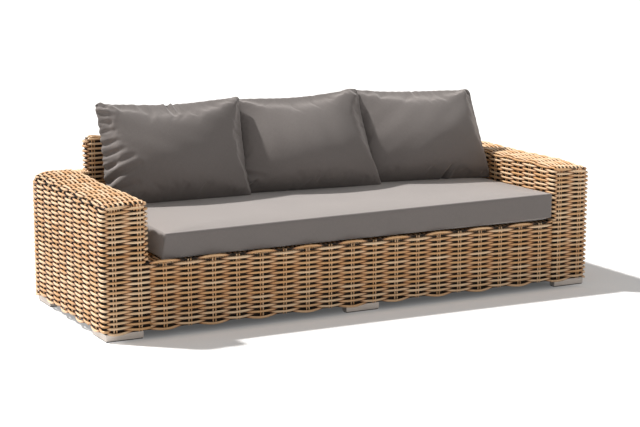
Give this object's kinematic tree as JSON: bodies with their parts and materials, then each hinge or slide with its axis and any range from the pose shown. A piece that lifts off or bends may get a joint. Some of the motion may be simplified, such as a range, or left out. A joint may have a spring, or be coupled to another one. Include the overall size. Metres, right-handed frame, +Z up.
{
  "type": "rattan garden sofa",
  "caption": "Woven garden sofa with broad box arms, a low back panel, a long loose seat cushion and loose back cushions on low metal bar feet.",
  "frame": {"origin": "on the floor, under the middle of the sofa's outline", "axes": "+X to the viewer's right when facing the sofa from the front, -Y to the front, +Z up"},
  "size_m": [2.3, 0.848, 0.862],
  "materials": {
    "weave": "satin",
    "frame": "satin",
    "foot": "satin",
    "glide": "matte",
    "seat_cover": "matte",
    "back_cover": "matte",
    "foam": "matte",
    "fibre": "matte",
    "zip": "satin",
    "zip_pull": "satin"
  },
  "bodies": {
    "sofa_frame": {"base_rail_front": "frame", "base_rail_rear": "frame", "base_rail_left": "frame", "base_rail_right": "frame", "back_post_left": "frame", "back_post_middle": "frame", "back_post_right": "frame", "back_top_rail": "frame", "seat_rail_front": "frame", "seat_rail_rear": "frame", "seat_crossbar_left": "frame", "seat_crossbar_right": "frame", "front_middle_post": "frame", "left_arm_post_outer_front": "frame", "left_arm_post_outer_rear": "frame", "left_arm_post_inner_front": "frame", "left_arm_rail_outer": "frame", "left_arm_rail_inner": "frame", "left_arm_bridge_front": "frame", "left_arm_bridge_rear": "frame", "right_arm_post_outer_front": "frame", "right_arm_post_outer_rear": "frame", "right_arm_post_inner_front": "frame", "right_arm_rail_outer": "frame", "right_arm_rail_inner": "frame", "right_arm_bridge_front": "frame", "right_arm_bridge_rear": "frame", "left_arm_weave": "weave", "right_arm_weave": "weave", "front_apron_weave": "weave", "seat_deck_weave": "weave", "back_weave": "weave", "front_left_foot": "foot", "front_left_glide": "glide", "front_middle_foot": "foot", "front_middle_glide": "glide", "front_right_foot": "foot", "front_right_glide": "glide", "rear_left_foot": "foot", "rear_left_glide": "glide", "rear_middle_foot": "foot", "rear_middle_glide": "glide", "rear_right_foot": "foot", "rear_right_glide": "glide"},
    "seat_cushion": {"seat_cushion_cover": "seat_cover", "seat_cushion_foam": "foam", "seat_cushion_zip": "zip"},
    "seat_zip_pull": {"seat_cushion_zip_pull": "zip_pull"},
    "right_back_cushion": {"right_back_cushion_cover": "back_cover", "right_back_cushion_filling": "fibre", "right_back_cushion_zip": "zip"},
    "middle_back_cushion": {"middle_back_cushion_cover": "back_cover", "middle_back_cushion_filling": "fibre", "middle_back_cushion_zip": "zip"},
    "left_back_cushion": {"left_back_cushion_cover": "back_cover", "left_back_cushion_filling": "fibre", "left_back_cushion_zip": "zip"}
  },
  "joints": [
    {"name": "seat_cushion_lift", "type": "slide", "parent": "sofa_frame", "child": "seat_cushion", "axis": [0, 0, 1], "range_m": [0, 0.42]},
    {"name": "right_back_cushion_lift", "type": "slide", "parent": "seat_cushion", "child": "right_back_cushion", "axis": [0, 0, 1], "range_m": [0, 0.32]},
    {"name": "middle_back_cushion_lift", "type": "slide", "parent": "right_back_cushion", "child": "middle_back_cushion", "axis": [0, 0, 1], "range_m": [0, 0.32]},
    {"name": "left_back_cushion_lift", "type": "slide", "parent": "middle_back_cushion", "child": "left_back_cushion", "axis": [0, 0, 1], "range_m": [0, 0.32]},
    {"name": "seat_zip_slide", "type": "slide", "parent": "seat_cushion", "child": "seat_zip_pull", "axis": [1, 0, 0], "range_m": [0, 1.508]}
  ]
}
